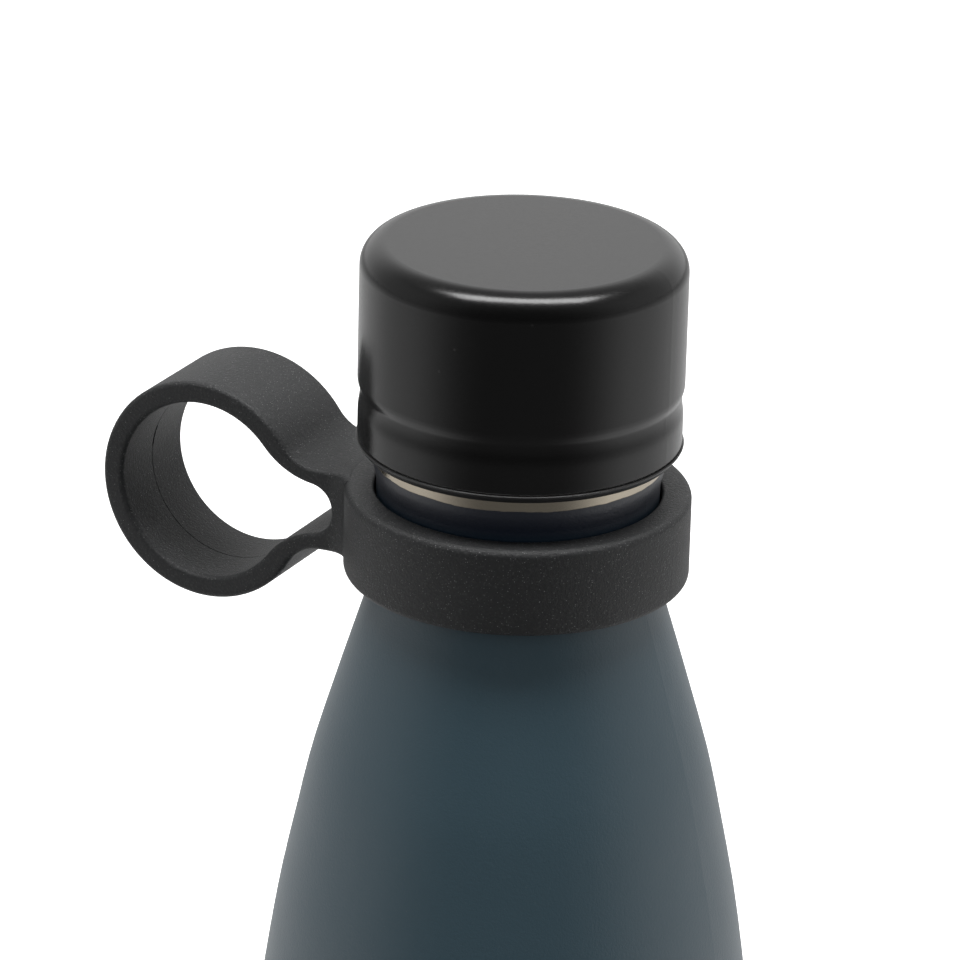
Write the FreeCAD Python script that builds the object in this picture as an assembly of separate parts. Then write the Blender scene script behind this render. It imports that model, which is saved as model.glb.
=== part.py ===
"""Vacuum-insulated steel water bottle with a screw cap and a rubber carry strap.

The bottle has two steel walls with a vacuum between them, joined at the lip. The cap is a
painted steel cup pressed over a plastic core, whose stopper screws into the neck and seals on a
ledge with a silicone ring. The strap is one rubber moulding: a collar that turns on the neck,
and a finger loop that droops a little from it.

Frame: millimetres, +Z up along the bottle's axis, origin at the centre of the plane it stands
on. The strap's loop points along -X, and its opening runs along Y.
"""

import FreeCAD
import Part
import math
import os

from FreeCAD import Vector

OUT = "parts"

# ---------------------------------------------------------------- driving dimensions
SKIRT_Z = 232.0          # lower edge of the cap's steel skirt, with the cap screwed down
CAP_RISE = 28.2          # from that edge to the top of the cap
CAP_R = 22.5             # steel cap, outer radius
NECK_R = 19.6            # painted neck where the strap sits, outer radius
BODY_R = 36.0            # straight part of the body, outer radius
LIP_Z = SKIRT_Z + 8.5    # top of the bottle's mouth

OUTER_WALL = 0.5         # outer shell
INNER_WALL = 0.45        # inner vessel
VACUUM_GAP = 2.8         # between the two walls
INSET = OUTER_WALL + VACUUM_GAP

MOUTH_R = 16.6           # inner radius of the mouth, at the root of its thread
LEDGE_Z = SKIRT_Z - 8.0  # the ledge that the stopper's ring seals on
FIT = 0.05               # play between pieces pressed or glued together
RUN = 0.08               # play round the sealing ring

# outer profile of the shoulder: radius, and depth below the skirt's edge
SHOULDER = [
    (NECK_R, 18.4),
    (20.9, 24.4),
    (22.8, 30.5),
    (25.5, 39.4),
    (28.1, 48.6),
    (30.1, 57.8),
    (32.0, 67.1),
    (33.5, 76.4),
    (35.17, 88.0),
    (BODY_R, 103.0),
]
SHOULDER_SAMPLES = 16    # points that carry the shoulder to the other walls

# strap: a collar and a keyhole-shaped finger loop
STRAP_WIDE = 17.0        # loop band, along Y
STRAP_EDGE = 0.75        # rounding of the band's edges
COLLAR_R = 24.0
COLLAR_BORE_R = NECK_R + 0.3
COLLAR_TOP = SKIRT_Z - 7.5
COLLAR_TALL = 12.5
COLLAR_EDGE = 1.0
ROOT_ROUND = 4.5         # concave rounding, in plan, from the band's sides to the collar
LOOP_DROOP = 2.8         # degrees
RING_OUT = 21.5          # from the collar's face to the centre of the loop's ring
RIM_R = 16.05            # outside of the ring
EYE_R = 12.9             # inside of the ring
ROOT_HALF = 6.0          # half the loop's height where it leaves the collar
RIM_BEND_R = 6.0         # hollow bend from the root to the ring, on the outside
EYE_BEND_R = 12.0        # the same bend on the inside
EYE_BEND_OUT = 2.0       # distance of that bend's centre from the collar's face
EYE_END_OUT = 0.8        # narrow end of the opening, from the collar's face


# ---------------------------------------------------------------- helpers
class Outline:
    """Closed outline in the XZ plane, walked point by point and then revolved about Z."""

    def __init__(self, r, z):
        self.start = self.here = Vector(r, 0, z)
        self.edges = []

    def line(self, *points):
        for r, z in points:
            there = Vector(r, 0, z)
            if there.distanceToPoint(self.here) > 1e-7:
                self.edges.append(Part.LineSegment(self.here, there).toShape())
            self.here = there
        return self

    def arc(self, through, to):
        """Arc by way of one point to another."""
        middle, there = Vector(through[0], 0, through[1]), Vector(to[0], 0, to[1])
        self.edges.append(Part.Arc(self.here, middle, there).toShape())
        self.here = there
        return self

    def corner(self, r, z, centre):
        """Quarter arc to (r, z) about a centre."""
        cr, cz = centre
        radius = math.hypot(r - cr, z - cz)
        half = Vector((self.here.x + r) / 2 - cr, 0, (self.here.z + z) / 2 - cz)
        half.normalize()
        return self.arc((cr + radius * half.x, cz + radius * half.z), (r, z))

    def dome(self, r, z):
        """Part of a sphere centred on the axis, from here to (r, z). One end is on the axis."""
        wide, rise = max(r, self.here.x), (self.here.z - z) * (1 if r > self.here.x else -1)
        crown_z = z if r < self.here.x else self.here.z
        ball = (wide * wide + rise * rise) / (2 * abs(rise))
        sag = math.copysign(ball - math.sqrt(ball * ball - wide * wide / 4), rise)
        return self.arc((wide / 2, crown_z - sag), (r, z))

    def curve(self, edge, end):
        """Adds a ready edge that starts here and stops at the end point."""
        self.edges.append(edge)
        self.here = end
        return self

    def face(self):
        self.line((self.start.x, self.start.z))
        return Part.Face(Part.Wire(self.edges))

    def solid(self):
        return self.face().revolve(Vector(0, 0, 0), Vector(0, 0, 1), 360)


def spline(points, first, last):
    """Smooth curve through points, with the given directions at its ends."""
    curve = Part.BSplineCurve()
    curve.interpolate(Points=points, InitialTangent=first, FinalTangent=last)
    return curve


def shoulder(inset, upward=False):
    """The shoulder's profile moved inwards by a distance, and its two end points."""
    down = Vector(0, 0, -1)
    outer = spline([Vector(r, 0, SKIRT_Z - depth) for r, depth in SHOULDER], down, down)
    points = []
    for i in range(SHOULDER_SAMPLES):
        share = i / (SHOULDER_SAMPLES - 1)
        u = outer.FirstParameter + share * (outer.LastParameter - outer.FirstParameter)
        tangent = outer.tangent(u)[0]
        points.append(outer.value(u) + Vector(tangent.z, 0, -tangent.x) * inset)
    # the two end points stay exactly on the straight walls they join
    points[0] = Vector(NECK_R - inset, 0, SKIRT_Z - SHOULDER[0][1])
    points[-1] = Vector(BODY_R - inset, 0, SKIRT_Z - SHOULDER[-1][1])
    if upward:
        points.reverse()
        down = Vector(0, 0, 1)
    return spline(points, down, down).toShape(), points[0], points[-1]


def save(name, shape):
    """Writes one node. Every solid in it has to be closed and valid."""
    if not shape.isValid() or shape.Volume <= 0:
        raise ValueError(name + " is not a valid solid")
    shape.exportStep(os.path.join(OUT, name + ".step"))
    print("%-16s %9.1f mm3  %d solid(s)" % (name, shape.Volume, len(shape.Solids)))


# ---------------------------------------------------------------- bottle: walls
FOOT_EDGE_Z = 2.0        # where the shell meets the base plate
FOOT_ROUND = 5.0         # rounding of the body's lower edge
FOOT_R = BODY_R - FOOT_ROUND
NECK_BEAD_R = 20.1       # the neck is a little wider where the cap's skirt covers it
LIP_ROUND = NECK_BEAD_R - (MOUTH_R + INNER_WALL)


def outer_shell():
    """Painted wall: rounded lip, neck, long shoulder, straight body and rounded lower edge."""
    bead_low = Vector(NECK_BEAD_R, 0, SKIRT_Z - 3.6)
    bead_end = Vector(NECK_R, 0, SKIRT_Z - 6.6)
    waist = (bead_low + bead_end) / 2
    wall = Vector(OUTER_WALL, 0, 0)
    down = Vector(0, 0, -1)
    bead = spline([bead_low, waist, bead_end], down, down).toShape()
    bead_inside = spline([bead_end - wall, waist - wall, bead_low - wall], -down, -down).toShape()
    mouth_out = MOUTH_R + INNER_WALL
    lip_z = LIP_Z - LIP_ROUND
    outside, neck_end, body_top = shoulder(0)
    inside, body_top_in, neck_end_in = shoulder(OUTER_WALL, upward=True)
    lip_in = LIP_ROUND - OUTER_WALL
    o = Outline(mouth_out, LIP_Z)
    o.corner(NECK_BEAD_R, lip_z, (mouth_out, lip_z))
    o.line((bead_low.x, bead_low.z))
    o.curve(bead, bead_end)
    o.line((neck_end.x, neck_end.z))
    o.curve(outside, body_top)
    o.line((BODY_R, FOOT_EDGE_Z + FOOT_ROUND))
    o.corner(FOOT_R, FOOT_EDGE_Z, (FOOT_R, FOOT_EDGE_Z + FOOT_ROUND))
    o.line((FOOT_R, FOOT_EDGE_Z + OUTER_WALL))
    o.corner(BODY_R - OUTER_WALL, FOOT_EDGE_Z + FOOT_ROUND, (FOOT_R, FOOT_EDGE_Z + FOOT_ROUND))
    o.line((body_top_in.x, body_top_in.z))
    o.curve(inside, neck_end_in)
    o.line((bead_end.x - OUTER_WALL, bead_end.z))
    o.curve(bead_inside, bead_low - wall)
    o.line((NECK_BEAD_R - OUTER_WALL, lip_z))
    o.corner(mouth_out, lip_z + lip_in, (mouth_out, lip_z))
    return o.solid()


INNER_TUBE_END_Z = 22.0  # weld between the inner tube and its bottom
INNER_BOTTOM_Z = 10.5
VESSEL_R = BODY_R - INSET
THROAT_R = NECK_R - INSET - INNER_WALL


def inner_vessel():
    """Inner wall: straight mouth, sealing ledge, then a shoulder and body inside the outer ones."""
    mouth_out = MOUTH_R + INNER_WALL
    throat_out = NECK_R - INSET
    ledge_drop = 0.8
    outside, neck_end, body_top = shoulder(INSET)
    inside, body_top_in, neck_end_in = shoulder(INSET + INNER_WALL, upward=True)
    o = Outline(MOUTH_R, LIP_Z)
    o.line((mouth_out, LIP_Z), (mouth_out, LEDGE_Z), (throat_out, LEDGE_Z - ledge_drop))
    o.line((neck_end.x, neck_end.z))
    o.curve(outside, body_top)
    o.line((VESSEL_R, INNER_TUBE_END_Z), (VESSEL_R - INNER_WALL, INNER_TUBE_END_Z))
    o.line((body_top_in.x, body_top_in.z))
    o.curve(inside, neck_end_in)
    o.line((THROAT_R, LEDGE_Z - ledge_drop), (MOUTH_R, LEDGE_Z))
    return o.solid()


def inner_bottom():
    """Dished bottom of the inner vessel, with a wide corner."""
    corner = 7.0
    knee_z = INNER_BOTTOM_Z + corner
    knee_r = VESSEL_R - corner
    wall_in = VESSEL_R - INNER_WALL
    crown = 1.6
    o = Outline(VESSEL_R, INNER_TUBE_END_Z)
    o.line((VESSEL_R, knee_z))
    o.corner(knee_r, INNER_BOTTOM_Z, (knee_r, knee_z))
    o.dome(0, INNER_BOTTOM_Z + crown)
    o.line((0, INNER_BOTTOM_Z + crown + INNER_WALL))
    o.dome(knee_r, INNER_BOTTOM_Z + INNER_WALL)
    o.corner(wall_in, knee_z, (knee_r, knee_z))
    o.line((wall_in, INNER_TUBE_END_Z))
    return o.solid()


# ---------------------------------------------------------------- bottle: base
BASE_WALL = 0.6
RECESS_R = 25.6          # the base disc sits in this recess
RECESS_Z = 4.3           # underside of the base plate inside the recess
EVAC_HOLE_R = 1.2        # hole that the air is drawn out through
DISC_Z = 1.1
DISC_THICK = 0.5


def outer_base():
    """Base plate, welded to the shell: a raised middle inside the ring that the bottle stands on."""
    stand_out, stand_in = 29.6, 27.4
    top = BASE_WALL
    o = Outline(FOOT_R, FOOT_EDGE_Z)
    o.line((stand_out, 0), (stand_in, 0), (RECESS_R, 1.0), (RECESS_R, RECESS_Z))
    o.line((EVAC_HOLE_R, RECESS_Z), (EVAC_HOLE_R, RECESS_Z + top))
    o.line((RECESS_R + top, RECESS_Z + top), (RECESS_R + top, 1.0 + top / 2))
    o.line((stand_in + 0.2, top), (stand_out - 0.2, top))
    o.line((FOOT_R - 0.25, FOOT_EDGE_Z + OUTER_WALL), (FOOT_R, FOOT_EDGE_Z + OUTER_WALL))
    return o.solid()


def vacuum_seal():
    """Bead of glass solder that closes the hole, domed inside the recess."""
    bead_r, bead_drop = 3.2, 1.6
    stem = EVAC_HOLE_R - FIT
    o = Outline(0, RECESS_Z + BASE_WALL)
    o.line((0, RECESS_Z - bead_drop))
    o.dome(bead_r, RECESS_Z)
    o.line((stem, RECESS_Z), (stem, RECESS_Z + BASE_WALL))
    return o.solid()


def base_disc():
    """Plain steel disc that covers the seal, with a pressed ring and a turned-up rim."""
    rim_r = RECESS_R - FIT
    rim_tall = 1.6
    inner = rim_r - DISC_THICK
    ring_r, ring_half, ring_deep = 19.0, 1.2, 0.35
    low, high = DISC_Z, DISC_Z + DISC_THICK
    o = Outline(0, low)
    for side, level in ((1, low), (-1, high)):
        o.line((ring_r - side * ring_half, level))
        o.arc((ring_r, level + ring_deep), (ring_r + side * ring_half, level))
        if side == 1:
            o.line((rim_r - 0.3, low), (rim_r, low + 0.3), (rim_r, low + rim_tall))
            o.line((inner, low + rim_tall), (inner, high))
    o.line((0, high))
    return o.solid()


# ---------------------------------------------------------------- bottle: inside the vacuum
GETTER_X = 12.0
GETTER_R = 3.0
GETTER_TALL = 2.2


def getter():
    """Pellet that keeps the vacuum, lying on the base plate."""
    floor_z = RECESS_Z + BASE_WALL + FIT
    pellet = Part.makeCylinder(GETTER_R, GETTER_TALL, Vector(GETTER_X, 0, floor_z))
    edges = [e for e in pellet.Edges if isinstance(e.Curve, Part.Circle)]
    return pellet.makeChamfer(0.3, edges)


def getter_clip():
    """Spring-steel strip bent over the pellet and spot-welded to the base plate at both feet."""
    thick, wide, foot = 0.3, 3.0, 3.0
    floor_z = RECESS_Z + BASE_WALL
    side = GETTER_R + 0.2
    top = floor_z + GETTER_TALL + 0.15
    line = [
        (-side - thick - foot, floor_z),
        (-side, floor_z),
        (-side, top),
        (side, top),
        (side, floor_z),
        (side + thick + foot, floor_z),
        (side + thick + foot, floor_z + thick),
        (side + thick, floor_z + thick),
        (side + thick, top + thick),
        (-side - thick, top + thick),
        (-side - thick, floor_z + thick),
        (-side - thick - foot, floor_z + thick),
    ]
    points = [Vector(GETTER_X + x, -wide / 2, z) for x, z in line]
    face = Part.Face(Part.makePolygon(points + points[:1]))
    return face.extrude(Vector(0, wide, 0))


def copper_foil():
    """Foil wrapped round the straight part of the inner vessel, against radiated heat."""
    thick = 0.15
    low, high = INNER_TUBE_END_Z + 3.0, SKIRT_Z - SHOULDER[-1][1] - 2.0
    near = VESSEL_R + FIT
    o = Outline(near, low)
    o.line((near + thick, low), (near + thick, high), (near, high))
    return o.solid()


# ---------------------------------------------------------------- cap
CAP_WALL = 0.5
CAP_ROUND = 3.5          # rounding of the cap's top edge
CAP_TOP_Z = SKIRT_Z + CAP_RISE
GROOVE_Z = SKIRT_Z + 6.9 # rolled groove between the cap's body and its lower band
GROOVE_DEEP = 0.4
BAND_R = CAP_R - 0.12
GROOVE_R = CAP_R - GROOVE_DEEP
CORE_R = GROOVE_R - CAP_WALL - FIT
SLEEVE_R = NECK_BEAD_R + 0.35
CEILING_Z = LIP_Z + 0.5
STOPPER_R = 15.0
STOPPER_IN_R = 12.6
STOPPER_END_Z = SKIRT_Z - 13.0
RING_SEAT_Z = LEDGE_Z + 0.3
RING_TALL = 2.6
RING_IN_R = 13.9


def cap_shell():
    """Deep-drawn steel cup: flat top, rounded edge, a soft rolled groove and a lower band."""
    inner_top = CAP_TOP_Z - CAP_WALL
    knee_r, knee_z = CAP_R - CAP_ROUND, CAP_TOP_Z - CAP_ROUND
    roll_top = Vector(CAP_R, 0, GROOVE_Z + 1.9)
    roll_end = Vector(BAND_R, 0, GROOVE_Z - 3.6)
    roll = [
        roll_top,
        Vector(CAP_R - GROOVE_DEEP * 0.3, 0, GROOVE_Z + 1.0),
        Vector(GROOVE_R + 0.04, 0, GROOVE_Z + 0.3),
        Vector(GROOVE_R + 0.01, 0, GROOVE_Z - 0.25),
        Vector(GROOVE_R + 0.13, 0, GROOVE_Z - 1.6),
        roll_end,
    ]
    down = Vector(0, 0, -1)
    inside = [point - Vector(CAP_WALL, 0, 0) for point in reversed(roll)]
    hem = 0.35            # the lower edge rolls in
    o = Outline(0, CAP_TOP_Z)
    o.line((knee_r, CAP_TOP_Z))
    o.corner(CAP_R, knee_z, (knee_r, knee_z))
    o.line((roll_top.x, roll_top.z))
    o.curve(spline(roll, down, down).toShape(), roll_end)
    o.line((BAND_R, SKIRT_Z + hem))
    o.corner(BAND_R - hem, SKIRT_Z, (BAND_R - hem, SKIRT_Z + hem))
    o.line((BAND_R - CAP_WALL, SKIRT_Z), (inside[0].x, inside[0].z))
    o.curve(spline(inside, -down, -down).toShape(), inside[-1])
    o.line((CAP_R - CAP_WALL, knee_z))
    o.corner(knee_r, inner_top, (knee_r, knee_z))
    o.line((0, inner_top))
    return o.solid()


def cap_core():
    """Plastic core: flange under the skirt, sleeve round the neck, ceiling and stopper."""
    flange_low = SKIRT_Z - 1.15
    flange_r = CAP_R + 0.12
    ceiling_top = CEILING_Z + 2.0
    wall_in = CORE_R - 1.5
    top = CAP_TOP_Z - CAP_ROUND - 1.0
    groove_top = RING_SEAT_Z + RING_TALL + RUN
    groove_r = RING_IN_R - RUN
    groove_low = RING_SEAT_Z - RUN
    nose_r = 15.1
    o = Outline(flange_r, SKIRT_Z - 0.12)
    o.line((flange_r - 0.15, SKIRT_Z - 0.4), (flange_r - 0.75, flange_low))
    o.line((SLEEVE_R + 0.3, flange_low), (SLEEVE_R, flange_low + 0.3), (SLEEVE_R, CEILING_Z))
    o.line((STOPPER_R, CEILING_Z), (STOPPER_R, groove_top), (groove_r, groove_top))
    o.line((groove_r, groove_low), (nose_r, groove_low), (nose_r, STOPPER_END_Z + 0.8))
    o.line((nose_r - 0.8, STOPPER_END_Z), (STOPPER_IN_R, STOPPER_END_Z))
    o.line((STOPPER_IN_R, ceiling_top), (wall_in, ceiling_top), (wall_in, top))
    o.line((CORE_R, top), (CORE_R, SKIRT_Z - 0.02), (flange_r - 0.1, SKIRT_Z - 0.02))
    return o.solid()


def stopper_end():
    """Disc welded into the stopper's open lower end."""
    radius = STOPPER_IN_R - FIT
    thick = 1.6
    o = Outline(0, STOPPER_END_Z)
    o.line((radius, STOPPER_END_Z), (radius, STOPPER_END_Z + thick), (0, STOPPER_END_Z + thick))
    return o.solid()


def cap_foam():
    """Foam plug that fills the stopper and the cap above its ceiling."""
    gap = 0.2
    low = STOPPER_END_Z + 1.6 + gap
    ceiling_top = CEILING_Z + 2.0 + gap
    stem = STOPPER_IN_R - gap
    wide = CORE_R - 1.5 - gap
    top = CAP_TOP_Z - CAP_ROUND - 1.0
    o = Outline(0, low)
    o.line((stem, low), (stem, ceiling_top), (wide, ceiling_top), (wide, top))
    o.line((wide - 1.5, top + 3.0), (0, top + 3.0))
    return o.solid()


def stopper_gasket():
    """Silicone ring in the stopper's groove, with a bevelled lip that meets the ledge."""
    outer, z = 16.2, RING_SEAT_Z
    o = Outline(RING_IN_R, z)
    o.line((outer - 0.7, z), (outer, z + 0.9), (outer, z + RING_TALL - 0.5))
    o.line((outer - 0.5, z + RING_TALL), (RING_IN_R, z + RING_TALL))
    return o.solid()


# ---------------------------------------------------------------- strap
def loop_point(out, up):
    """Point of the loop's side view: distance out from the collar's face, height above its axis."""
    droop = math.radians(LOOP_DROOP)
    x = -COLLAR_R - out * math.cos(droop) - up * math.sin(droop)
    z = COLLAR_TOP - COLLAR_TALL / 2 - out * math.sin(droop) + up * math.cos(droop)
    return x, z


def towards(centre, radius, other):
    """Point on a circle, on the line from its centre to another point."""
    dx, dy = other[0] - centre[0], other[1] - centre[1]
    length = math.hypot(dx, dy)
    return centre[0] + radius * dx / length, centre[1] + radius * dy / length


def rim_outline():
    """Outside of the loop: straight root, hollow bends and a round ring."""
    ring = (RING_OUT, 0)
    bend_up = ROOT_HALF + RIM_BEND_R
    bend_out = RING_OUT - math.sqrt((RIM_R + RIM_BEND_R) ** 2 - bend_up ** 2)
    meet_out, meet_up = towards(ring, RIM_R, (bend_out, bend_up))
    inside = COLLAR_BORE_R - COLLAR_R
    o = Outline(*loop_point(inside, ROOT_HALF))
    o.line(loop_point(bend_out, ROOT_HALF))
    o.corner(*loop_point(meet_out, meet_up), loop_point(bend_out, bend_up))
    o.arc(loop_point(RING_OUT + RIM_R, 0), loop_point(meet_out, -meet_up))
    o.corner(*loop_point(bend_out, -ROOT_HALF), loop_point(bend_out, -bend_up))
    o.line(loop_point(inside, -ROOT_HALF))
    return o.face()


def eye_outline():
    """The loop's opening: a round eye that narrows in hollow bends to a small round end."""
    ring = (RING_OUT, 0)
    bend_up = math.sqrt((EYE_R + EYE_BEND_R) ** 2 - (RING_OUT - EYE_BEND_OUT) ** 2)
    bend = (EYE_BEND_OUT, bend_up)
    # centre of the end circle that touches both bends and reaches EYE_END_OUT
    reach = EYE_BEND_R - EYE_END_OUT
    end = (bend_up ** 2 + EYE_BEND_OUT ** 2 - reach ** 2) / (2 * (reach + EYE_BEND_OUT))
    wide_out, wide_up = towards(ring, EYE_R, bend)
    thin_out, thin_up = towards(bend, EYE_BEND_R, (end, 0))
    o = Outline(*loop_point(thin_out, thin_up))
    o.corner(*loop_point(wide_out, wide_up), loop_point(*bend))
    o.arc(loop_point(RING_OUT + EYE_R, 0), loop_point(wide_out, -wide_up))
    o.corner(*loop_point(thin_out, -thin_up), loop_point(EYE_BEND_OUT, -bend_up))
    o.arc(loop_point(EYE_END_OUT, 0), loop_point(thin_out, thin_up))
    return o.face()


def plan_outline():
    """Plan view of the band: straight sides that widen in two arcs where they meet the collar."""
    half = STRAP_WIDE / 2
    reach = COLLAR_R + ROOT_ROUND
    across = half + ROOT_ROUND
    bend_x = -math.sqrt(reach ** 2 - across ** 2)
    touch_x, touch_y = towards((0, 0), COLLAR_R, (bend_x, across))
    tip_x = -COLLAR_R - RING_OUT - RIM_R - 1.0
    o = Outline(-COLLAR_BORE_R, 0)
    o.line((touch_x, touch_y))
    o.corner(bend_x, half, (bend_x, across))
    o.line((tip_x, half), (tip_x, -half), (bend_x, -half))
    o.corner(touch_x, -touch_y, (bend_x, -across))
    plan = o.face()
    plan.rotate(Vector(0, 0, 0), Vector(1, 0, 0), 90)
    return plan


def strap_loop():
    """Side view and plan of the loop, each drawn out to a block, and what they have in common."""
    wide = Vector(0, 2 * COLLAR_R, 0)
    side = rim_outline().extrude(wide).cut(eye_outline().extrude(wide))
    side.translate(-wide / 2)
    plan = plan_outline()
    tall = 4 * RIM_R
    plan.translate(Vector(0, 0, COLLAR_TOP - tall / 2))
    loop = side.common(plan.extrude(Vector(0, 0, tall)))
    rounded = []
    for edge in loop.Edges:
        box = edge.BoundBox
        upright = box.XLength + box.YLength < 0.01
        on_side = min(abs(v.Y) for v in edge.Vertexes) > STRAP_WIDE / 2 - 0.01
        if on_side and not upright:
            rounded.append(edge)
    return loop.makeFillet(STRAP_EDGE, rounded)


def carry_strap():
    """Rubber collar and loop, moulded as one piece."""
    top, low = COLLAR_TOP, COLLAR_TOP - COLLAR_TALL
    in_edge = 0.5
    e = COLLAR_EDGE
    o = Outline(COLLAR_BORE_R, low + in_edge)
    o.corner(COLLAR_BORE_R + in_edge, low, (COLLAR_BORE_R + in_edge, low + in_edge))
    o.line((COLLAR_R - e, low))
    o.corner(COLLAR_R, low + e, (COLLAR_R - e, low + e))
    o.line((COLLAR_R, top - e))
    o.corner(COLLAR_R - e, top, (COLLAR_R - e, top - e))
    o.line((COLLAR_BORE_R + in_edge, top))
    o.corner(COLLAR_BORE_R, top - in_edge, (COLLAR_BORE_R + in_edge, top - in_edge))
    collar = o.solid()
    bore = Part.makeCylinder(COLLAR_BORE_R + 1.0, 60, Vector(0, 0, low - 20))
    return collar.fuse(strap_loop().cut(bore)).removeSplitter()


# ---------------------------------------------------------------- all of it
NODES = {
    "outer_shell": outer_shell,
    "inner_vessel": inner_vessel,
    "inner_bottom": inner_bottom,
    "outer_base": outer_base,
    "base_disc": base_disc,
    "vacuum_seal": vacuum_seal,
    "getter": getter,
    "getter_clip": getter_clip,
    "copper_foil": copper_foil,
    "cap_shell": cap_shell,
    "cap_core": cap_core,
    "stopper_end": stopper_end,
    "cap_foam": cap_foam,
    "stopper_gasket": stopper_gasket,
    "carry_strap": carry_strap,
}

os.makedirs(OUT, exist_ok=True)
for node, make in NODES.items():
    save(node, make())
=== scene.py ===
# %% [markdown]
# # Insulated water bottle
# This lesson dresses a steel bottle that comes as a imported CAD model. The model is the frame:
# its nodes keep their places, and everything made here is measured from them.

# %% Load the frame
import math

import bpy
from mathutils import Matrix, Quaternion, Vector


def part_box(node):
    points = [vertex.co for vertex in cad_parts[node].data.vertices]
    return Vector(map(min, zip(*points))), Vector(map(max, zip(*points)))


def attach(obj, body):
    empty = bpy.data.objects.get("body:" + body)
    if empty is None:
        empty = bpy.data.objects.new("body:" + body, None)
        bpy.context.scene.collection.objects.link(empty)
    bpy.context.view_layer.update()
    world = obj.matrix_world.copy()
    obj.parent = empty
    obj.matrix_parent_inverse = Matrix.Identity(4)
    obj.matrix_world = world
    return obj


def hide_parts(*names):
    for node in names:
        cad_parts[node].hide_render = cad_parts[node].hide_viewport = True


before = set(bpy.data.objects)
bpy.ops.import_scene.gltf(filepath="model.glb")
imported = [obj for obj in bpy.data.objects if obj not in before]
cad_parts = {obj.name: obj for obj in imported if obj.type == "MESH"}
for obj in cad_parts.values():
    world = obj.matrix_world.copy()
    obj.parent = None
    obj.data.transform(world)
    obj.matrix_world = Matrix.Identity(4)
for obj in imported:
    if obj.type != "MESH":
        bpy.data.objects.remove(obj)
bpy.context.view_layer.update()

MM = 0.001

# %% [markdown]
# Heights on a bottle are easiest to give from one edge. Here it is the lower edge of the cap's
# steel skirt, which closes over the neck. The boxes of the CAD nodes give that edge, the low
# left corner of the strap and the top of the stopper's seal ring.

# %% Measure the frame
SKIRT_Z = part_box("cap_shell")[0].z
STRAP_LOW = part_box("carry_strap")[0]
RING_TOP_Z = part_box("stopper_gasket")[1].z
print("skirt edge z %.4f, seal ring top z %.4f" % (SKIRT_Z, RING_TOP_Z))

# %% [markdown]
# The camera's own directions are needed early, because the studio is laid out around it. The
# camera stands a little to one side of the carry loop and looks down on the shoulder.

# %% Directions seen from the camera
AZIMUTH = math.radians(26.6)
right = Vector((math.cos(AZIMUTH), math.sin(AZIMUTH), 0))
away = Vector((-math.sin(AZIMUTH), math.cos(AZIMUTH), 0))
up = Vector((0, 0, 1))
skirt_centre = Vector((0, 0, SKIRT_Z))

# %% [markdown]
# ## Tools
# A material is a node tree, so a few small helpers that add a node and join two sockets keep
# every later cell short.

# %% Node helpers
def add_node(tree, kind, **values):
    """A node of a kind. A value's name is a property of the node or, failing that, an input."""
    node = tree.nodes.new(kind)
    for name, value in values.items():
        if hasattr(node, name):
            setattr(node, name, value)
        else:
            node.inputs[name.replace("_", " ")].default_value = value
    return node


def join(tree, source, target):
    """A link from an output socket to an input socket."""
    tree.links.new(source, target)


def new_group(name, inputs, outputs):
    """An empty node group with named sockets, and its two end nodes."""
    tree = bpy.data.node_groups.new(name, "ShaderNodeTree")
    for label, kind, value in inputs:
        socket = tree.interface.new_socket(label, in_out="INPUT", socket_type=kind)
        socket.default_value = value
    for label, kind in outputs:
        tree.interface.new_socket(label, in_out="OUTPUT", socket_type=kind)
    return tree, tree.nodes.new("NodeGroupInput"), tree.nodes.new("NodeGroupOutput")


def use_group(tree, group, **values):
    """A group's node in a tree, with its constant inputs set by name."""
    node = tree.nodes.new("ShaderNodeGroup")
    node.node_tree = group
    for name, value in values.items():
        node.inputs[name.replace("_", " ")].default_value = value
    return node


def new_material(name, **values):
    """A material with a Principled shader whose constant sockets are set by name."""
    material = bpy.data.materials.new(name)
    material.use_nodes = True
    tree = material.node_tree
    tree.nodes.clear()
    shader = add_node(tree, "ShaderNodeBsdfPrincipled")
    for key, value in values.items():
        shader.inputs[key.replace("_", " ")].default_value = value
    out = add_node(tree, "ShaderNodeOutputMaterial")
    join(tree, shader.outputs["BSDF"], out.inputs["Surface"])
    return material, tree, shader


def math_node(tree, operation, first, second=None):
    """One arithmetic node. Each operand is a number or a socket."""
    node = tree.nodes.new("ShaderNodeMath")
    node.operation = operation
    for socket, value in zip(node.inputs, (first, second)):
        if isinstance(value, (int, float)):
            socket.default_value = value
        elif value is not None:
            join(tree, value, socket)
    return node.outputs[0]


def ramp(tree, factor, low, high, to_low=0.0, to_high=1.0):
    """A smooth step from to_low at low to to_high at high."""
    node = add_node(tree, "ShaderNodeMapRange", interpolation_type="SMOOTHSTEP")
    join(tree, factor, node.inputs["Value"])
    node.inputs["From Min"].default_value = low
    node.inputs["From Max"].default_value = high
    node.inputs["To Min"].default_value = to_low
    node.inputs["To Max"].default_value = to_high
    return node.outputs["Result"]


def mix_colour(tree, factor, first, second):
    """The first colour where the factor is 0, the second where it is 1."""
    node = add_node(tree, "ShaderNodeMix", data_type="RGBA")
    join(tree, factor, node.inputs["Factor"])
    for name, value in (("A", first), ("B", second)):
        socket = [s for s in node.inputs if s.name == name and s.type == "RGBA"][0]
        if isinstance(value, tuple):
            socket.default_value = value
        else:
            join(tree, value, socket)
    return [s for s in node.outputs if s.type == "RGBA"][0]


def bump(tree, shader, height, distance, strength=1.0):
    """Makes a height in 0 to 1 into relief that is a distance deep."""
    node = add_node(tree, "ShaderNodeBump", Strength=strength, Distance=distance)
    join(tree, height, node.inputs["Height"])
    join(tree, node.outputs["Normal"], shader.inputs["Normal"])


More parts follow.
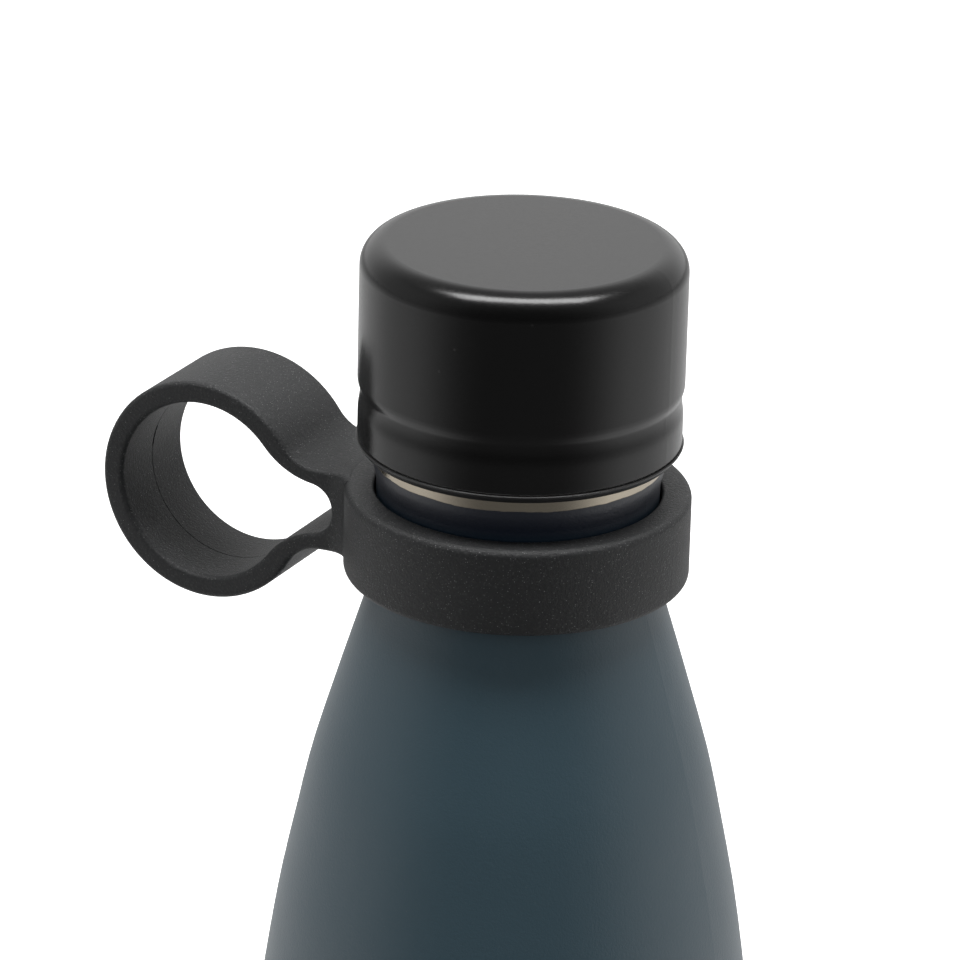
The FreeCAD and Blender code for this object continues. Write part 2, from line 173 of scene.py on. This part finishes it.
def grey(level, warm=0.0):
    """A grey colour, turned a little warm or, below zero, a little cold."""
    return (level * (1 + warm), level, level * (1 - warm), 1.0)


FLOAT = "NodeSocketFloat"
VECTOR = "NodeSocketVector"
print("helpers ready")

# %% [markdown]
# ## Shared surface effects
# Powder coat, moulded rubber and bare metal all have a fine grain, each at its own scale, so
# one node group makes it for all of them. It gives a height for the bump, a slow mottle for
# the colour, and light specks. Real dust lies as separate dots, so the specks are the middles
# of Voronoi cells, and a random share of the cells is left empty.

# %% The grain group
def make_grain():
    tree, start, end = new_group(
        "fine_grain",
        [("Grain", FLOAT, 2000.0), ("Dust", FLOAT, 1500.0), ("Dust Share", FLOAT, 0.3)],
        [("Height", FLOAT), ("Dots", FLOAT), ("Mottle", FLOAT)],
    )
    place = add_node(tree, "ShaderNodeTexCoord").outputs["Object"]
    fine = add_node(tree, "ShaderNodeTexNoise", Detail=3.0, Roughness=0.65)
    join(tree, place, fine.inputs["Vector"])
    join(tree, start.outputs["Grain"], fine.inputs["Scale"])
    cells = add_node(tree, "ShaderNodeTexVoronoi", Randomness=1.0)
    join(tree, place, cells.inputs["Vector"])
    join(tree, start.outputs["Dust"], cells.inputs["Scale"])
    dot = ramp(tree, cells.outputs["Distance"], 0.26, 0.08)
    draw = add_node(tree, "ShaderNodeSeparateColor")
    join(tree, cells.outputs["Color"], draw.inputs["Color"])
    chosen = math_node(tree, "LESS_THAN", draw.outputs["Red"], start.outputs["Dust Share"])
    bright = math_node(tree, "MULTIPLY", dot, draw.outputs["Green"])
    mottle = add_node(tree, "ShaderNodeTexNoise", Scale=60.0, Detail=3.0)
    join(tree, place, mottle.inputs["Vector"])
    join(tree, fine.outputs["Fac"], end.inputs["Height"])
    join(tree, math_node(tree, "MULTIPLY", bright, chosen), end.inputs["Dots"])
    join(tree, mottle.outputs["Fac"], end.inputs["Mottle"])
    return tree


GRAIN = make_grain()
print("group:", GRAIN.name)

# %% [markdown]
# Several finishes change at a height: the paint stops below the rim of the neck, and the cap's
# skirt gets a painted highlight, a pale band along its lower edge. A second group finds that height
# in a node's own coordinates and lets the line wander a little, as a masked or sprayed edge does.

# %% The height group
def make_height_edge():
    tree, start, end = new_group(
        "height_edge",
        [("Height", FLOAT, 0.0), ("Softness", FLOAT, 0.0001), ("Wander", FLOAT, 0.0002)],
        [("Above", FLOAT)],
    )
    place = add_node(tree, "ShaderNodeTexCoord").outputs["Object"]
    parts = add_node(tree, "ShaderNodeSeparateXYZ")
    join(tree, place, parts.inputs["Vector"])
    wave = add_node(tree, "ShaderNodeTexNoise", Scale=260.0, Detail=2.0)
    join(tree, place, wave.inputs["Vector"])
    centred = math_node(tree, "SUBTRACT", wave.outputs["Fac"], 0.5)
    shift = math_node(tree, "MULTIPLY", centred, start.outputs["Wander"])
    moved = math_node(tree, "ADD", parts.outputs["Z"], shift)
    over = math_node(tree, "SUBTRACT", moved, start.outputs["Height"])
    share = math_node(tree, "DIVIDE", over, start.outputs["Softness"])
    join(tree, ramp(tree, share, -0.5, 0.5), end.inputs["Above"])
    return tree


HEIGHT_EDGE = make_height_edge()
print("group:", HEIGHT_EDGE.name)

# %% [markdown]
# ## Finishes
# The cap is a steel shell with a satin black paint. The paint is almost pure black and fairly
# smooth, so the cap shows little but reflections. A thin pale grey band along the skirt's lower
# edge is a painted highlight for the bright line on that edge.

# %% Satin black paint of the cap
# Painted highlight along the skirt's lower edge: the height and softness of the pale band.
EDGE_HIGHLIGHT_TALL = 0.16 * MM
EDGE_HIGHLIGHT_SOFT = 0.1 * MM


def cap_paint():
    m, t, s = new_material("cap_paint")
    g = use_group(t, GRAIN, Grain=2600.0, Dust=900.0, Dust_Share=0.04)
    black = mix_colour(t, g.outputs["Mottle"], grey(0.0008), grey(0.0016))
    dusty = mix_colour(t, g.outputs["Dots"], black, grey(0.03))
    # Painted highlight: below this height the skirt is coloured pale grey instead of black.
    edge = use_group(
        t, HEIGHT_EDGE, Height=SKIRT_Z + EDGE_HIGHLIGHT_TALL, Softness=EDGE_HIGHLIGHT_SOFT, Wander=EDGE_HIGHLIGHT_SOFT
    )
    join(t, mix_colour(t, edge.outputs["Above"], grey(0.30), dusty), s.inputs["Base Color"])
    join(t, ramp(t, g.outputs["Height"], 0.2, 0.8, 0.19, 0.27), s.inputs["Roughness"])
    bump(t, s, g.outputs["Height"], 0.008 * MM)
    return m


CAP_PAINT = cap_paint()
print("finish:", CAP_PAINT.name)

# %% [markdown]
# The body has a powder coat, a blue-grey paint with a fine orange-peel relief. It is masked off
# below the rim, so a band of bare steel shows between the paint and the cap. Below that band the
# neck is painted near black as painted shade from the cap and the collar. The relief is flattened
# on the steel.

# %% Powder coat of the body, with the bare neck
PAINT_TOP_Z = SKIRT_Z - 3.2 * MM
PAINT = (0.025, 0.058, 0.078, 1.0)
PAINT_LIGHT = (0.029, 0.065, 0.087, 1.0)
# The near-black neck colour and the two neck heights below are painted shade: the neck from the cap
# down to the collar is coloured near black where it lies in the shade of the cap and collar.
PAINT_NECK_SHADE = (0.002, 0.006, 0.018, 1.0)
BARE_NECK = (0.46, 0.41, 0.33, 1.0)
NECK_SHADE_Z = SKIRT_Z - 9.0 * MM
NECK_SHADE_FADE = 7.0 * MM
PAINT_ROUGHNESS = 0.42
STEEL_ROUGHNESS = 0.22


def body_paint():
    m, t, s = new_material("body_powder_coat", Specular_IOR_Level=1.0)
    g = use_group(t, GRAIN, Grain=2400.0, Dust=2200.0, Dust_Share=0.12)
    colour = mix_colour(t, g.outputs["Mottle"], PAINT, PAINT_LIGHT)
    dusty = mix_colour(t, ramp(t, g.outputs["Dots"], 0, 1, 0, 0.12), colour, grey(0.25))
    # Painted shade: the neck under the cap is mixed to near black from the paint edge down, fading
    # out behind the collar.
    neck = use_group(t, HEIGHT_EDGE, Height=NECK_SHADE_Z, Softness=NECK_SHADE_FADE, Wander=0.0)
    coat_and_shade = mix_colour(t, neck.outputs["Above"], dusty, PAINT_NECK_SHADE)
    edge = use_group(t, HEIGHT_EDGE, Height=PAINT_TOP_Z, Softness=0.12 * MM, Wander=0.5 * MM)
    bare = edge.outputs["Above"]
    join(t, mix_colour(t, bare, coat_and_shade, BARE_NECK), s.inputs["Base Color"])
    join(t, bare, s.inputs["Metallic"])
    join(t, ramp(t, bare, 0, 1, PAINT_ROUGHNESS, STEEL_ROUGHNESS), s.inputs["Roughness"])
    flat = ramp(t, bare, 0, 1, 1.0, 0.1)
    bump(t, s, math_node(t, "MULTIPLY", g.outputs["Height"], flat), 0.05 * MM)
    return m


BODY_PAINT = body_paint()
print("finish:", BODY_PAINT.name)

# %% [markdown]
# The strap is moulded in matt black silicone rubber. It draws dust, which shows as dense fine
# dots, so its colour is a dark grey with a pale grain and paler dots over it.

# %% Silicone rubber of the strap
def strap_rubber():
    m, t, s = new_material("strap_silicone", Roughness=0.55)
    g = use_group(t, GRAIN, Grain=2600.0, Dust=3400.0, Dust_Share=0.55)
    black = mix_colour(t, g.outputs["Mottle"], grey(0.014, -0.05), grey(0.019, -0.05))
    grain = mix_colour(t, ramp(t, g.outputs["Height"], 0.5, 0.75, 0, 0.6), black, grey(0.045))
    dusty = mix_colour(t, g.outputs["Dots"], grain, grey(0.28))
    join(t, dusty, s.inputs["Base Color"])
    bump(t, s, g.outputs["Height"], 0.16 * MM)
    return m


STRAP_RUBBER = strap_rubber()
print("finish:", STRAP_RUBBER.name)

# %% [markdown]
# The hidden and inner pieces have plain finishes of their own: polished steel inside, brushed
# steel below, black plastic for the stopper, grey silicone for its ring, white foam in the cap,
# and copper foil and solder inside the vacuum. They are of two kinds, so two functions make
# them. A metal's mottle and grain change its tone and its roughness, and a moulded piece has
# one roughness and a little dust.

# %% Two kinds of plain finish
METAL_SPREAD = 0.07


def metal(name, colour, roughness, grain=1200.0, relief=0.01):
    """A bare metal whose roughness spreads a little to both sides. The relief is in mm."""
    m, t, s = new_material(name, Metallic=1.0)
    g = use_group(t, GRAIN, Grain=grain, Dust_Share=0.0)
    darker = tuple(c * 0.85 for c in colour[:3]) + (1.0,)
    join(t, mix_colour(t, g.outputs["Mottle"], darker, colour), s.inputs["Base Color"])
    least = roughness - METAL_SPREAD
    most = roughness + METAL_SPREAD
    join(t, ramp(t, g.outputs["Height"], 0.2, 0.8, least, most), s.inputs["Roughness"])
    bump(t, s, g.outputs["Height"], relief * MM)
    return m


def moulded(name, colour, roughness, grain=1500.0, relief=0.02):
    """A plastic, rubber, foam or glass with a little dust on it. The relief is in mm."""
    m, t, s = new_material(name, Roughness=roughness)
    g = use_group(t, GRAIN, Grain=grain, Dust=1400.0, Dust_Share=0.06)
    lighter = tuple(min(1.0, c * 1.25) for c in colour[:3]) + (1.0,)
    pale = mix_colour(t, g.outputs["Mottle"], colour, lighter)
    dust = ramp(t, g.outputs["Dots"], 0, 1, 0, 0.3)
    join(t, mix_colour(t, dust, pale, grey(0.3)), s.inputs["Base Color"])
    bump(t, s, g.outputs["Height"], relief * MM)
    return m


print("functions ready: metal, moulded")

# %% [markdown]
# Most of these pieces are only seen when the cap is off or the bottle is taken apart. Their
# greys, the warm copper and the dark solder are those of the bare materials.

# %% Plain finishes
BRUSHED_STEEL = metal("brushed_steel", grey(0.56, 0.03), 0.34)
INNER_STEEL = metal("polished_inner_steel", grey(0.62, 0.02), 0.2, grain=700.0)
PLASTIC = moulded("black_plastic", grey(0.012), 0.42)
SEAL = moulded("ring_silicone", grey(0.36), 0.5)
FOAM = moulded("cap_foam", grey(0.75, 0.02), 0.9, grain=900.0, relief=0.2)
SOLDER = moulded("glass_solder", (0.05, 0.046, 0.04, 1.0), 0.12, grain=600.0)
COPPER = metal("copper_foil", (0.80, 0.42, 0.27, 1.0), 0.3, grain=500.0, relief=0.05)
GETTER = metal("getter_metal", grey(0.20), 0.55, grain=2500.0, relief=0.03)

print("steel, plastic, silicone, foam, solder, copper and getter ready")

# %% [markdown]
# Every CAD node gets exactly one finish. The nodes' meshes keep their shape.

# %% Dress the CAD nodes
finish = {
    "outer_shell": BODY_PAINT, "inner_vessel": INNER_STEEL, "inner_bottom": INNER_STEEL,
    "outer_base": BRUSHED_STEEL, "base_disc": BRUSHED_STEEL, "vacuum_seal": SOLDER,
    "getter": GETTER, "getter_clip": BRUSHED_STEEL, "copper_foil": COPPER,
    "cap_shell": CAP_PAINT, "cap_core": PLASTIC, "stopper_end": PLASTIC,
    "cap_foam": FOAM, "stopper_gasket": SEAL, "carry_strap": STRAP_RUBBER,
}
for name, material in finish.items():
    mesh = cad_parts[name].data
    mesh.materials.clear()
    mesh.materials.append(material)
print("finished CAD nodes:", len(finish))

# %% [markdown]
# ## Parting line of the strap
# The halves of the strap's mould meet in the middle of the loop. The rubber keeps a fine groove
# there, round the loop's inner face, and it has split into a short open slit where the loop is
# flexed most. A painted line would still shine like the rubber beside it, so the groove is
# real. Each stretch of it has half a width and the two heights between which it runs.

# %% Measures of the parting line
LOOP_RIM_R = 16.05 * MM
LOOP_X = STRAP_LOW.x + LOOP_RIM_R
LOOP_Z = STRAP_LOW.z + LOOP_RIM_R
LOOP_EYE_R = 12.9 * MM
GROOVE_END_X = LOOP_X + 6.0 * MM
GROOVE_DEEP = 0.6 * MM
GROOVES = (
    (0.07 * MM, -LOOP_RIM_R, LOOP_RIM_R),
    (0.13 * MM, 0.4 * MM, 5.8 * MM),
    (0.19 * MM, 1.4 * MM, 4.6 * MM),
)


def in_groove(centre):
    """True for the middle of a face on the loop's inner side that lies within a groove."""
    across = math.hypot(centre.x - LOOP_X, centre.z - LOOP_Z)
    if across > LOOP_EYE_R + 0.2 * MM or centre.x > GROOVE_END_X:
        return False
    rise = centre.z - LOOP_Z
    return any(abs(centre.y) < half and low < rise < high for half, low, high in GROOVES)


print("loop centre x %.4f, z %.4f" % (LOOP_X, LOOP_Z))

# %% [markdown]
# The strap is copied and cut by planes along the edges of the groove. The CAD mesh brings its
# own shading normals and separate faces, so the normals are cleared and the points merged
# before anything is cut.

# %% Cut a copy of the strap
def cut_all(point, normal):
    """Cuts every face of the mesh in edit mode along a plane."""
    bpy.ops.mesh.select_all(action="SELECT")
    bpy.ops.mesh.bisect(plane_co=point, plane_no=normal)


strap_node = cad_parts["carry_strap"]
strap = bpy.data.objects.new("moulded_strap", strap_node.data.copy())
bpy.context.scene.collection.objects.link(strap)
bpy.ops.object.select_all(action="DESELECT")
strap.select_set(True)
bpy.context.view_layer.objects.active = strap
bpy.ops.mesh.customdata_custom_splitnormals_clear()
bpy.ops.object.mode_set(mode="EDIT")
bpy.ops.mesh.select_mode(type="FACE")
bpy.ops.mesh.select_all(action="SELECT")
bpy.ops.mesh.remove_doubles(threshold=0.001 * MM)
for half, _, _ in GROOVES:
    for side in (-half, half):
        cut_all((0, side, 0), (0, 1, 0))
for _, low, high in GROOVES[1:]:
    for rise in (low, high):
        cut_all((0, 0, LOOP_Z + rise), (0, 0, 1))
bpy.ops.mesh.select_all(action="DESELECT")
bpy.ops.object.mode_set(mode="OBJECT")
print("strap faces after the cuts:", len(strap.data.polygons))

# %% [markdown]
# The narrow faces between the cuts are extruded and spread away from the loop's centre, into
# the rubber, which sinks the groove to one depth all round. Smooth shading with an angle limit
# keeps the groove's edges crisp.

# %% Sink the groove
for face in strap.data.polygons:
    face.select = in_groove(face.center)
print("groove faces:", sum(face.select for face in strap.data.polygons))
bpy.ops.object.mode_set(mode="EDIT")
bpy.ops.mesh.extrude_region()
spread = 1 + GROOVE_DEEP / LOOP_EYE_R
bpy.ops.transform.resize(value=(spread, 1, spread), center_override=(LOOP_X, 0, LOOP_Z))
bpy.ops.object.mode_set(mode="OBJECT")
bpy.ops.object.shade_smooth_by_angle(angle=math.radians(35))
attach(strap, "strap")
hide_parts("carry_strap")
print("strap faces:", len(strap.data.polygons))

# %% [markdown]
# ## Screw threads
# The stopper screws into the neck. Its thread is a ridge that winds round the plastic, and the
# neck has a rolled ridge that winds round inside, half a pitch above it. A thread is drawn as a
# small section, a plane shaped in edit mode, and the Screw modifier winds it round the axis.
# Both ends of a real thread run out into the wall, so the first and last sections are shrunk
# onto it.

# %% One thread
PITCH = 4.0 * MM
THREAD_TURNS = 2
THREAD_TALL = 1.9 * MM
THREAD_STEPS = 72
CREST_SHARE = 0.4
END_SHARE = 0.25
CREST_BEVEL = 0.25 * MM
ON_PLANE = 0.01 * MM


def select_where(thread, test):
    """Selects, in edit mode, the points of a mesh that pass a test on their place."""
    bpy.ops.object.mode_set(mode="EDIT")
    bpy.ops.mesh.select_all(action="DESELECT")
    bpy.ops.object.mode_set(mode="OBJECT")
    for vertex in thread.data.vertices:
        vertex.select = test(vertex.co)
    bpy.ops.object.mode_set(mode="EDIT")


def wind_thread(name, wall_r, crest_r, foot_z, material):
    """A ridge from a wall's radius to its crest, wound up from foot_z on the loop's side."""
    middle = (wall_r + crest_r) / 2
    bpy.ops.object.select_all(action="DESELECT")
    bpy.ops.mesh.primitive_plane_add(size=1.0, rotation=(math.pi / 2, 0, 0))
    bpy.ops.object.transform_apply(rotation=True)
    thread = bpy.context.object
    thread.name = name
    bpy.ops.object.mode_set(mode="EDIT")
    bpy.ops.mesh.select_mode(type="VERT")
    bpy.ops.mesh.select_all(action="SELECT")
    bpy.ops.transform.resize(value=(abs(crest_r - wall_r), 1, THREAD_TALL))
    bpy.ops.transform.translate(value=(-middle, 0, foot_z))
    select_where(thread, lambda p: abs(p.x + crest_r) < abs(p.x + wall_r))
    bpy.ops.transform.resize(value=(1, 1, CREST_SHARE))
    bpy.ops.mesh.bevel(offset=CREST_BEVEL, segments=3, affect="VERTICES")
    bpy.ops.object.mode_set(mode="OBJECT")
    screw = thread.modifiers.new("wind", "SCREW")
    screw.axis = "Z"
    screw.screw_offset = PITCH
    screw.iterations = THREAD_TURNS
    screw.steps = screw.render_steps = THREAD_STEPS
    bpy.ops.object.modifier_apply(modifier="wind")
    for end_z in (foot_z, foot_z + PITCH * THREAD_TURNS):
        select_where(
            thread,
            lambda p: abs(p.y) < ON_PLANE and p.x < 0 and abs(p.z - end_z) < THREAD_TALL,
        )
        bpy.ops.transform.resize(
            value=(END_SHARE, 1, END_SHARE), center_override=(-wall_r, 0, end_z)
        )
    bpy.ops.mesh.select_all(action="SELECT")
    bpy.ops.mesh.fill_holes(sides=0)
    bpy.ops.mesh.select_all(action="SELECT")
    bpy.ops.mesh.normals_make_consistent(inside=False)
    bpy.ops.object.mode_set(mode="OBJECT")
    bpy.ops.object.shade_smooth_by_angle(angle=math.radians(40))
    thread.data.materials.append(material)
    print(name, "faces:", len(thread.data.polygons))
    return thread


print("thread: %d turns of %.1f mm" % (THREAD_TURNS, PITCH / MM))

# %% [markdown]
# Half a pitch apart, each ridge lies in the other's hollow, so the two stay clear of each
# other when the cap is down and when it is lifted out. Both start a little inside their wall,
# so that no gap shows at the foot of a ridge.

# %% Wind the two threads
STOPPER_WALL_R = 14.8 * MM
STOPPER_CREST_R = 16.1 * MM
NECK_WALL_R = 16.7 * MM
NECK_CREST_R = 15.4 * MM
FOOT_Z = RING_TOP_Z + 1.1 * MM
NECK_FOOT_Z = FOOT_Z + PITCH / 2
stopper_thread = wind_thread("stopper_thread", STOPPER_WALL_R, STOPPER_CREST_R, FOOT_Z, PLASTIC)
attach(stopper_thread, "cap")
neck_thread = wind_thread("neck_thread", NECK_WALL_R, NECK_CREST_R, NECK_FOOT_Z, INNER_STEEL)
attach(neck_thread, "bottle")

# %% [markdown]
# ## Camera
# The bottle is seen close up, from a little above, with a long lens, so its upright edges stay
# almost parallel. The camera leans by a degree and a half.

# %% Camera
CAMERA_BACK = 0.8047
CAMERA_HIGH = 0.3183
AIM_LEFT = 5.3 * MM
AIM_BELOW = 6.8 * MM
LENS = 235.9
CAMERA_LEAN = math.radians(1.5)
camera_at = skirt_centre - away * CAMERA_BACK + up * CAMERA_HIGH
aim = skirt_centre - right * AIM_LEFT - up * AIM_BELOW
camera_data = bpy.data.cameras.new("camera")
camera_data.lens = LENS
camera_data.sensor_width = 36.0
camera_data.clip_end = 50.0
camera = bpy.data.objects.new("camera", camera_data)
bpy.context.scene.collection.objects.link(camera)
camera.location = camera_at
camera.rotation_mode = "QUATERNION"
look = (aim - camera_at).to_track_quat("-Z", "Y")
camera.rotation_quaternion = look @ Quaternion((0, 0, 1), CAMERA_LEAN)
bpy.context.scene.camera = camera
print("camera distance %.3f m" % (camera_at - skirt_centre).length)

# %% [markdown]
# ## Studio
# A dark, glossy cylinder shows what stands round it, so the studio is bright behind, white at
# the sides and dark towards the camera. One group gives that tone for a direction, and both the
# sky and the floor use it for everything but what the camera itself sees.

# %% The studio's tone
toward = -away


def share_along(tree, unit, axis):
    """How far a unit direction points along an axis, from -1 to 1."""
    node = add_node(tree, "ShaderNodeVectorMath", operation="DOT_PRODUCT")
    join(tree, unit, node.inputs[0])
    node.inputs[1].default_value = axis
    return node.outputs["Value"]


def make_studio_tone():
    tree, start, end = new_group(
        "studio_tone", [("Direction", VECTOR, (0, 0, 0))], [("Tone", FLOAT)]
    )
    unit = add_node(tree, "ShaderNodeVectorMath", operation="NORMALIZE")
    join(tree, start.outputs["Direction"], unit.inputs[0])
    front = share_along(tree, unit.outputs["Vector"], toward)
    side = share_along(tree, unit.outputs["Vector"], right)
    dark = ramp(tree, front, 0.1, 0.92, 0.9, 0.13)
    bright = ramp(tree, front, -0.35, -0.95, 1.0, 2.1)
    lit = ramp(tree, side, -0.9, 0.9, 0.95, 1.1)
    both = math_node(tree, "MULTIPLY", dark, bright)
    join(tree, math_node(tree, "MULTIPLY", both, lit), end.inputs["Tone"])
    return tree


STUDIO_TONE = make_studio_tone()
print("group:", STUDIO_TONE.name)

# %% [markdown]
# The bottle stands on a wide pale floor. The camera sees it almost white, and every other ray
# sees it in the studio's tone, so that the gloss stays dark in front. The floor belongs to the
# stage and not to the bottle.

# %% Floor
FLOOR_WIDE = 8.0
FLOOR_GLOW = 0.8


def floor_material():
    m, t, s = new_material("pale_floor", Roughness=0.9)
    place = add_node(t, "ShaderNodeTexCoord").outputs["Object"]
    tone = use_group(t, STUDIO_TONE)
    join(t, place, tone.inputs["Direction"])
    seen = add_node(t, "ShaderNodeLightPath").outputs["Is Camera Ray"]
    share = math_node(t, "MAXIMUM", tone.outputs["Tone"], seen)
    join(t, mix_colour(t, share, grey(0.0), grey(0.9)), s.inputs["Base Color"])
    s.inputs["Emission Color"].default_value = (1, 1, 1, 1)
    join(t, math_node(t, "MULTIPLY", seen, FLOOR_GLOW), s.inputs["Emission Strength"])
    return m


bpy.ops.object.select_all(action="DESELECT")
bpy.ops.mesh.primitive_plane_add(size=FLOOR_WIDE, location=(0, 0, 0))
floor = bpy.context.object
floor.name = "floor"
floor.data.materials.append(floor_material())
print("floor: %.0f m wide" % FLOOR_WIDE)

# %% [markdown]
# The sky has the same tone and gets weaker towards the top, where the softbox takes over. The
# camera sees it as plain white.

# %% Sky
SKY_SEEN = 1.1
world = bpy.data.worlds.new("studio")
world.use_nodes = True
bpy.context.scene.world = world
sky = world.node_tree
background = sky.nodes["Background"]
direction = add_node(sky, "ShaderNodeTexCoord").outputs["Generated"]
tone = use_group(sky, STUDIO_TONE)
join(sky, direction, tone.inputs["Direction"])
heights = add_node(sky, "ShaderNodeSeparateXYZ")
join(sky, direction, heights.inputs["Vector"])
low = ramp(sky, heights.outputs["Z"], 0.45, 0.75, 0.52, 0.35)
lit = math_node(sky, "MULTIPLY", low, tone.outputs["Tone"])
seen = add_node(sky, "ShaderNodeLightPath").outputs["Is Camera Ray"]
white = math_node(sky, "MULTIPLY", seen, SKY_SEEN)
join(sky, math_node(sky, "MAXIMUM", lit, white), background.inputs["Strength"])
background.inputs["Color"].default_value = (1, 1, 1, 1)
print("sky ready")

# %% [markdown]
# One softbox hangs right above the bottle. It draws the bright line round the front edge of the
# cap and lights the tops of the collar and of the loop. A weak fill from the front lights the
# paint and the rubber. It is left out of reflections, so the gloss stays dark there.

# %% Softboxes
def softbox(name, size, at, towards, radiance):
    """A rectangular light of a given brightness, which its power follows from its area."""
    data = bpy.data.lights.new(name, "AREA")
    data.shape = "RECTANGLE"
    data.size, data.size_y = size
    data.energy = math.pi * size[0] * size[1] * radiance
    lamp = bpy.data.objects.new(name, data)
    bpy.context.scene.collection.objects.link(lamp)
    lamp.location = at
    lamp.rotation_mode = "QUATERNION"
    lamp.rotation_quaternion = (Vector(towards) - Vector(at)).to_track_quat("-Z", "Y")
    return lamp


LIFT = math.radians(86)
TOP_SIZE = (1.1, 0.36)
TOP_RADIANCE = 11.0
FILL_SIZE = (1.2, 1.2)
FILL_RADIANCE = 1.0
lamp_at = skirt_centre + toward * math.cos(LIFT) + up * math.sin(LIFT)
softbox("top_softbox", TOP_SIZE, lamp_at, skirt_centre, TOP_RADIANCE)
fill_at = skirt_centre + toward * 1.4 + up * 0.6
fill = softbox("front_fill", FILL_SIZE, fill_at, skirt_centre, FILL_RADIANCE)
fill.visible_glossy = False
bpy.context.scene.view_settings.view_transform = "Standard"
print("top softbox %.2f m above the skirt" % (lamp_at.z - SKIRT_Z))
